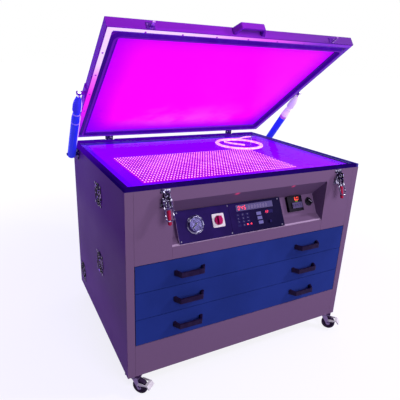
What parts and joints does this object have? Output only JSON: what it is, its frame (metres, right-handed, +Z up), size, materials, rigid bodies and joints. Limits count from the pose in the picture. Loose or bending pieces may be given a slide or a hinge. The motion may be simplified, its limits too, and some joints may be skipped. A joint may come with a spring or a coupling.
{
  "type": "screen printing exposure unit",
  "caption": "Wheeled exposure unit with a hinged vacuum lid, a glass top over a light box, a sloped control recess and flat drawers.",
  "frame": {"origin": "on the floor, under the middle of the overall box", "axes": "+X to the right seen from the front, +Y to the back, +Z up"},
  "size_m": [1.3668, 1.0312, 1.6274],
  "materials": {
    "body_paint": "satin powder coat",
    "frame_steel": "matt painted steel",
    "rim_rubber": "matt",
    "glass": "clear polished",
    "light_box_paint": "gloss",
    "led_board": "satin",
    "zinc": "zinc plated",
    "black_plastic": "moulded",
    "bright_wire": "polished",
    "panel_film": "satin film",
    "gauge_metal": "polished bezel",
    "switch_white": "gloss",
    "knob_red": "gloss",
    "needle_black": "matt",
    "clear_hose": "clear tube",
    "pump_paint": "painted casting",
    "lid_paint": "satin powder coat",
    "blanket_rubber": "satin rubber sheet",
    "strut_blue": "gloss",
    "drawer_blue": "satin powder coat",
    "tyre_black": "moulded"
  },
  "bodies": {
    "cabinet": {"base_frame": "frame_steel", "side_panel_left": "body_paint", "side_panel_right": "body_paint", "back_panel": "body_paint", "front_panels": "body_paint", "control_recess": "body_paint", "top_frame": "frame_steel", "rim_gasket": "rim_rubber", "glass_plate": "glass", "light_box": "light_box_paint", "led_strips": "led_board", "drawer_runners": "zinc", "fan_frames": "black_plastic", "fan_guards": "bright_wire", "control_plate": "panel_film", "gauge_case": "gauge_metal", "switch_bodies": "switch_white", "timer_case": "black_plastic", "latch_bases": "bright_wire", "cabinet_pivots": "frame_steel", "caster_mounts": "zinc", "cable_gland": "black_plastic", "vacuum_port": "bright_wire", "hose_lead": "clear_hose", "hose_coil": "clear_hose", "vacuum_pump": "pump_paint", "power_supplies": "zinc"},
    "lid": {"lid_frame": "lid_paint", "blanket": "blanket_rubber", "clamp_strips": "zinc", "lid_seal": "rim_rubber", "lid_handle": "lid_paint", "latch_keepers": "bright_wire", "lid_pivots": "frame_steel"},
    "strut_cylinders": {"strut_cylinders": "strut_blue"},
    "strut_rods": {"strut_rods": "bright_wire"},
    "drawer_1": {"drawer_1": "drawer_blue", "drawer_handles_1": "black_plastic"},
    "drawer_2": {"drawer_2": "drawer_blue", "drawer_handles_2": "black_plastic"},
    "drawer_3": {"drawer_3": "drawer_blue", "drawer_handles_3": "black_plastic"},
    "latch_lever_left": {"latch_lever_left": "bright_wire"},
    "latch_lever_right": {"latch_lever_right": "bright_wire"},
    "latch_hook_left": {"latch_hook_left": "bright_wire"},
    "latch_hook_right": {"latch_hook_right": "bright_wire"},
    "caster_fork_left": {"caster_fork_left": "zinc"},
    "caster_fork_right": {"caster_fork_right": "zinc"},
    "wheel_front_left": {"wheel_front_left": "tyre_black"},
    "wheel_front_right": {"wheel_front_right": "tyre_black"},
    "wheel_rear_left": {"wheel_rear_left": "tyre_black"},
    "wheel_rear_right": {"wheel_rear_right": "tyre_black"},
    "brake_pedal_left": {"brake_pedal_left": "black_plastic"},
    "brake_pedal_right": {"brake_pedal_right": "black_plastic"},
    "switch_knob": {"switch_knob": "knob_red"},
    "selector_knob": {"selector_knob": "black_plastic"},
    "gauge_needle": {"gauge_needle": "needle_black"},
    "fan_rotor_1": {"fan_rotor_1": "black_plastic"},
    "fan_rotor_2": {"fan_rotor_2": "black_plastic"},
    "fan_rotor_3": {"fan_rotor_3": "black_plastic"}
  },
  "joints": [
    {"name": "lid_hinge", "type": "hinge", "parent": "cabinet", "child": "lid", "pos_m": [0, 0.49845, 1.04], "axis": [-1, 0, 0], "range_deg": [-35.6, 0], "stiffness_Nm_per_rad": 60, "springref_deg": 108.86},
    {"name": "strut_foot", "type": "hinge", "parent": "cabinet", "child": "strut_cylinders", "pos_m": [0, 0.38145, 0.952], "axis": [-1, 0, 0], "range_deg": [-39.8, 0]},
    {"name": "strut_eye", "type": "hinge", "parent": "lid", "child": "strut_rods", "pos_m": [0, 0.10035, 1.30164], "axis": [-1, 0, 0], "range_deg": [-4.5, 0.5]},
    {"name": "drawer_slide_1", "type": "slide", "parent": "cabinet", "child": "drawer_1", "axis": [0, -1, 0], "range_m": [0, 0.55]},
    {"name": "drawer_slide_2", "type": "slide", "parent": "cabinet", "child": "drawer_2", "axis": [0, -1, 0], "range_m": [0, 0.55]},
    {"name": "drawer_slide_3", "type": "slide", "parent": "cabinet", "child": "drawer_3", "axis": [0, -1, 0], "range_m": [0, 0.55]},
    {"name": "latch_lever_left_pivot", "type": "hinge", "parent": "cabinet", "child": "latch_lever_left", "pos_m": [-0.455, -0.47655, 0.955], "axis": [-1, 0, 0], "range_deg": [-16, 84]},
    {"name": "latch_hook_left_pivot", "type": "hinge", "parent": "latch_lever_left", "child": "latch_hook_left", "pos_m": [-0.455, -0.47671, 0.93632], "axis": [1, 0, 0], "range_deg": [-156.72, 0]},
    {"name": "latch_lever_right_pivot", "type": "hinge", "parent": "cabinet", "child": "latch_lever_right", "pos_m": [0.485, -0.47655, 0.955], "axis": [-1, 0, 0], "range_deg": [-16, 84]},
    {"name": "latch_hook_right_pivot", "type": "hinge", "parent": "latch_lever_right", "child": "latch_hook_right", "pos_m": [0.485, -0.47671, 0.93632], "axis": [1, 0, 0], "range_deg": [-156.72, 0]},
    {"name": "caster_swivel_left", "type": "hinge", "parent": "cabinet", "child": "caster_fork_left", "pos_m": [-0.583, -0.43055, 0.08], "axis": [0, 0, 1], "continuous": true},
    {"name": "wheel_spin_front_left", "type": "hinge", "parent": "caster_fork_left", "child": "wheel_front_left", "pos_m": [-0.56372, -0.45353, 0.0375], "axis": [0.766, 0.6428, 0], "continuous": true},
    {"name": "brake_pedal_left_pivot", "type": "hinge", "parent": "caster_fork_left", "child": "brake_pedal_left", "pos_m": [-0.56115, -0.4566, 0.0595], "axis": [0.766, 0.6428, 0], "range_deg": [0, 5]},
    {"name": "wheel_spin_rear_left", "type": "hinge", "parent": "cabinet", "child": "wheel_rear_left", "pos_m": [-0.583, 0.43145, 0.0375], "axis": [1, 0, 0], "continuous": true},
    {"name": "caster_swivel_right", "type": "hinge", "parent": "cabinet", "child": "caster_fork_right", "pos_m": [0.583, -0.43055, 0.08], "axis": [0, 0, 1], "continuous": true},
    {"name": "wheel_spin_front_right", "type": "hinge", "parent": "caster_fork_right", "child": "wheel_front_right", "pos_m": [0.60228, -0.45353, 0.0375], "axis": [0.766, 0.6428, 0], "continuous": true},
    {"name": "brake_pedal_right_pivot", "type": "hinge", "parent": "caster_fork_right", "child": "brake_pedal_right", "pos_m": [0.60485, -0.4566, 0.0595], "axis": [0.766, 0.6428, 0], "range_deg": [0, 5]},
    {"name": "wheel_spin_rear_right", "type": "hinge", "parent": "cabinet", "child": "wheel_rear_right", "pos_m": [0.583, 0.43145, 0.0375], "axis": [1, 0, 0], "continuous": true},
    {"name": "switch_turn", "type": "hinge", "parent": "cabinet", "child": "switch_knob", "pos_m": [-0.176, -0.41391, 0.78645], "axis": [0, -0.8792, 0.4765], "range_deg": [-90, 0]},
    {"name": "selector_turn", "type": "hinge", "parent": "cabinet", "child": "selector_knob", "pos_m": [0.3836, -0.40266, 0.8072], "axis": [0, -0.8792, 0.4765], "range_deg": [-90, 0]},
    {"name": "needle_turn", "type": "hinge", "parent": "cabinet", "child": "gauge_needle", "pos_m": [-0.292, -0.41486, 0.7847], "axis": [0, -0.8792, 0.4765], "range_deg": [-270, 0], "stiffness_Nm_per_rad": 0.002},
    {"name": "fan_spin_1", "type": "hinge", "parent": "cabinet", "child": "fan_rotor_1", "pos_m": [-0.623, -0.05355, 0.85], "axis": [1, 0, 0], "continuous": true},
    {"name": "fan_spin_2", "type": "hinge", "parent": "cabinet", "child": "fan_rotor_2", "pos_m": [-0.623, -0.03355, 0.482], "axis": [1, 0, 0], "continuous": true},
    {"name": "fan_spin_3", "type": "hinge", "parent": "cabinet", "child": "fan_rotor_3", "pos_m": [-0.623, 0.39845, 0.212], "axis": [1, 0, 0], "continuous": true}
  ],
  "couplings": [
    {"joint": "strut_foot", "follows": "lid_hinge", "ratio": 1.1085},
    {"joint": "strut_eye", "follows": "lid_hinge", "ratio": 0.1085}
  ]
}
